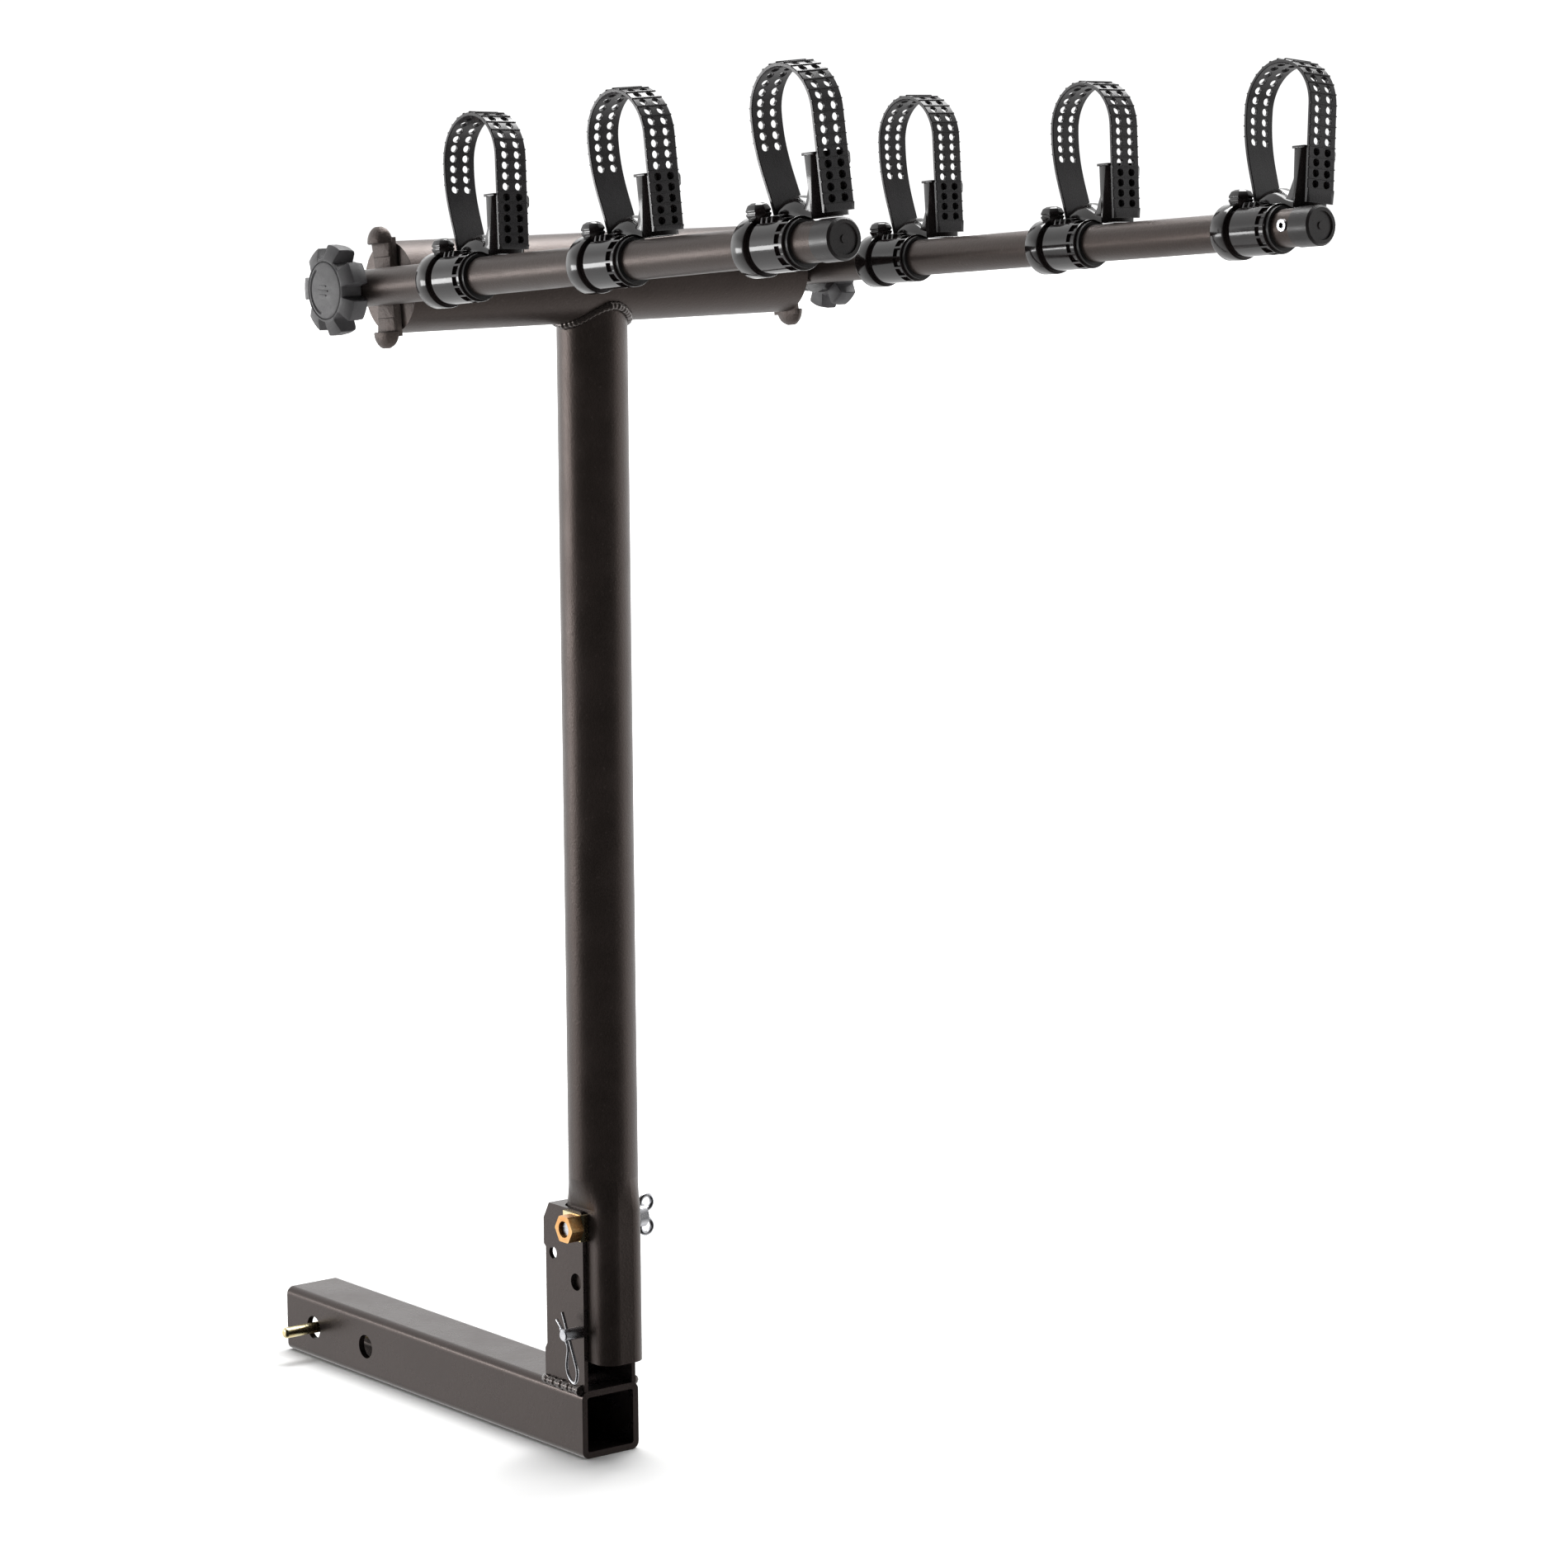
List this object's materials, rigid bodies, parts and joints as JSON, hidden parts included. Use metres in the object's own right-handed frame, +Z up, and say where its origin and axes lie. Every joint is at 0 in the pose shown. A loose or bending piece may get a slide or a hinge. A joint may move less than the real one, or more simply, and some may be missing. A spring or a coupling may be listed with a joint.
{
  "type": "hitch mounted bike rack",
  "caption": "Hitch mounted bike rack: a square shank and bracket carry a tilting mast whose crossbar holds fold-down arms with strapped cradles.",
  "frame": {"origin": "on the square shank's centre line, at the hitch pin hole", "axes": "+X to the right across the vehicle, +Y forward into the vehicle's receiver, +Z up"},
  "size_m": [0.4662, 0.9365, 1.0201],
  "materials": {
    "black_powder_coat": "satin powder coat",
    "coated_weld": "glossy over a rippled weld bead",
    "cast_black": "satin, slightly pebbled",
    "bright_zinc": "bright zinc plate",
    "yellow_zinc": "yellow chromate zinc plate",
    "black_plastic": "matte moulded",
    "knob_plastic": "matte grey-black",
    "glossy_black_plastic": "glossy moulded",
    "black_rubber": "semi-gloss moulded rubber"
  },
  "bodies": {
    "hitch_frame": {"shank_tube": "black_powder_coat", "hitch_nut_strap": "yellow_zinc", "hitch_nut": "yellow_zinc", "hitch_nut_peg": "yellow_zinc", "bracket_channel": "black_powder_coat", "bracket_weld_bead": "coated_weld", "nut_keeper_clip": "yellow_zinc", "clamp_nut": "yellow_zinc"},
    "mast": {"mast_tube": "black_powder_coat", "crossbar_tube": "black_powder_coat", "mast_weld_bead": "coated_weld", "crossbar_end_hub_left": "black_powder_coat", "crossbar_end_hub_right": "black_powder_coat"},
    "pivot_pin": {"pivot_pin": "bright_zinc"},
    "r_clip": {"r_clip": "bright_zinc"},
    "clamp_washer": {"clamp_screw_washer": "bright_zinc"},
    "clamp_screw": {"clamp_screw_shaft": "bright_zinc", "clamp_screw_wings": "bright_zinc"},
    "arm_left": {"arm_tube_left": "black_powder_coat", "arm_root_plug_left": "black_plastic", "arm_end_cap_left": "black_plastic", "arm_stop_rivet_left": "bright_zinc", "saddle_casting_left": "cast_black", "cradle_sleeve_left_1": "black_rubber", "cradle_sleeve_left_2": "black_rubber", "cradle_sleeve_left_3": "black_rubber"},
    "knob_washer_left": {"knob_washer_left": "bright_zinc"},
    "knob_left": {"knob_grip_left": "knob_plastic", "knob_face_left": "knob_plastic", "knob_stud_left": "bright_zinc"},
    "cradle_left_1": {"cradle_body_left_1": "glossy_black_plastic", "cradle_strap_left_1": "black_rubber", "strap_anchor_left_1": "glossy_black_plastic"},
    "cradle_left_2": {"cradle_body_left_2": "glossy_black_plastic", "cradle_strap_left_2": "black_rubber", "strap_anchor_left_2": "glossy_black_plastic"},
    "cradle_left_3": {"cradle_body_left_3": "glossy_black_plastic", "cradle_strap_left_3": "black_rubber", "strap_anchor_left_3": "glossy_black_plastic"},
    "arm_right": {"arm_tube_right": "black_powder_coat", "arm_root_plug_right": "black_plastic", "arm_end_cap_right": "black_plastic", "arm_stop_rivet_right": "bright_zinc", "saddle_casting_right": "cast_black", "cradle_sleeve_right_1": "black_rubber", "cradle_sleeve_right_2": "black_rubber", "cradle_sleeve_right_3": "black_rubber"},
    "knob_washer_right": {"knob_washer_right": "bright_zinc"},
    "knob_right": {"knob_grip_right": "knob_plastic", "knob_face_right": "knob_plastic", "knob_stud_right": "bright_zinc"},
    "cradle_right_1": {"cradle_body_right_1": "glossy_black_plastic", "cradle_strap_right_1": "black_rubber", "strap_anchor_right_1": "glossy_black_plastic"},
    "cradle_right_2": {"cradle_body_right_2": "glossy_black_plastic", "cradle_strap_right_2": "black_rubber", "strap_anchor_right_2": "glossy_black_plastic"},
    "cradle_right_3": {"cradle_body_right_3": "glossy_black_plastic", "cradle_strap_right_3": "black_rubber", "strap_anchor_right_3": "glossy_black_plastic"}
  },
  "joints": [
    {"name": "mast_tilt", "type": "hinge", "parent": "hitch_frame", "child": "mast", "pos_m": [0, -0.283, 0.0696], "axis": [1, 0, 0], "range_deg": [0, 60]},
    {"name": "pivot_pin_slide", "type": "slide", "parent": "hitch_frame", "child": "pivot_pin", "axis": [1, 0, 0], "range_m": [0, 0.009]},
    {"name": "r_clip_pull", "type": "slide", "parent": "pivot_pin", "child": "r_clip", "axis": [0, -0.4067, -0.9135], "range_m": [0, 0.024]},
    {"name": "clamp_washer_slide", "type": "slide", "parent": "hitch_frame", "child": "clamp_washer", "axis": [1, 0, 0], "range_m": [0, 0.003]},
    {"name": "clamp_screw_turn", "type": "hinge", "parent": "clamp_washer", "child": "clamp_screw", "pos_m": [0, -0.283, 0.1486], "axis": [1, 0, 0], "range_deg": [0, 720]},
    {"name": "arm_fold_left", "type": "hinge", "parent": "mast", "child": "arm_left", "pos_m": [-0.1953, -0.283, 0.8364], "axis": [1, 0, 0], "range_deg": [0, 95]},
    {"name": "knob_washer_slide_left", "type": "slide", "parent": "arm_left", "child": "knob_washer_left", "axis": [-1, 0, 0], "range_m": [0, 0.003]},
    {"name": "knob_turn_left", "type": "hinge", "parent": "knob_washer_left", "child": "knob_left", "pos_m": [-0.1953, -0.283, 0.8364], "axis": [-1, 0, 0], "range_deg": [0, 720]},
    {"name": "cradle_left_1_swivel", "type": "hinge", "parent": "arm_left", "child": "cradle_left_1", "pos_m": [-0.1953, -0.37755, 0.84559], "axis": [0, -0.9953, 0.0967], "range_deg": [-90, 90]},
    {"name": "cradle_left_2_swivel", "type": "hinge", "parent": "arm_left", "child": "cradle_left_2", "pos_m": [-0.1953, -0.55124, 0.86247], "axis": [0, -0.9953, 0.0967], "range_deg": [-90, 90]},
    {"name": "cradle_left_3_swivel", "type": "hinge", "parent": "arm_left", "child": "cradle_left_3", "pos_m": [-0.1953, -0.72591, 0.87944], "axis": [0, -0.9953, 0.0967], "range_deg": [-90, 90]},
    {"name": "arm_fold_right", "type": "hinge", "parent": "mast", "child": "arm_right", "pos_m": [0.1953, -0.283, 0.8364], "axis": [1, 0, 0], "range_deg": [0, 95]},
    {"name": "knob_washer_slide_right", "type": "slide", "parent": "arm_right", "child": "knob_washer_right", "axis": [1, 0, 0], "range_m": [0, 0.003]},
    {"name": "knob_turn_right", "type": "hinge", "parent": "knob_washer_right", "child": "knob_right", "pos_m": [0.1953, -0.283, 0.8364], "axis": [1, 0, 0], "range_deg": [0, 720]},
    {"name": "cradle_right_1_swivel", "type": "hinge", "parent": "arm_right", "child": "cradle_right_1", "pos_m": [0.1953, -0.36121, 0.84317], "axis": [0, -0.9963, 0.0863], "range_deg": [-90, 90]},
    {"name": "cradle_right_2_swivel", "type": "hinge", "parent": "arm_right", "child": "cradle_right_2", "pos_m": [0.1953, -0.54851, 0.8594], "axis": [0, -0.9963, 0.0863], "range_deg": [-90, 90]},
    {"name": "cradle_right_3_swivel", "type": "hinge", "parent": "arm_right", "child": "cradle_right_3", "pos_m": [0.1953, -0.73581, 0.87562], "axis": [0, -0.9963, 0.0863], "range_deg": [-90, 90]}
  ],
  "couplings": [
    {"joint": "clamp_screw_turn", "follows": "clamp_washer_slide", "rad_per_m": 4188.8},
    {"joint": "knob_turn_left", "follows": "knob_washer_slide_left", "rad_per_m": 4188.8},
    {"joint": "knob_turn_right", "follows": "knob_washer_slide_right", "rad_per_m": 4188.8}
  ]
}
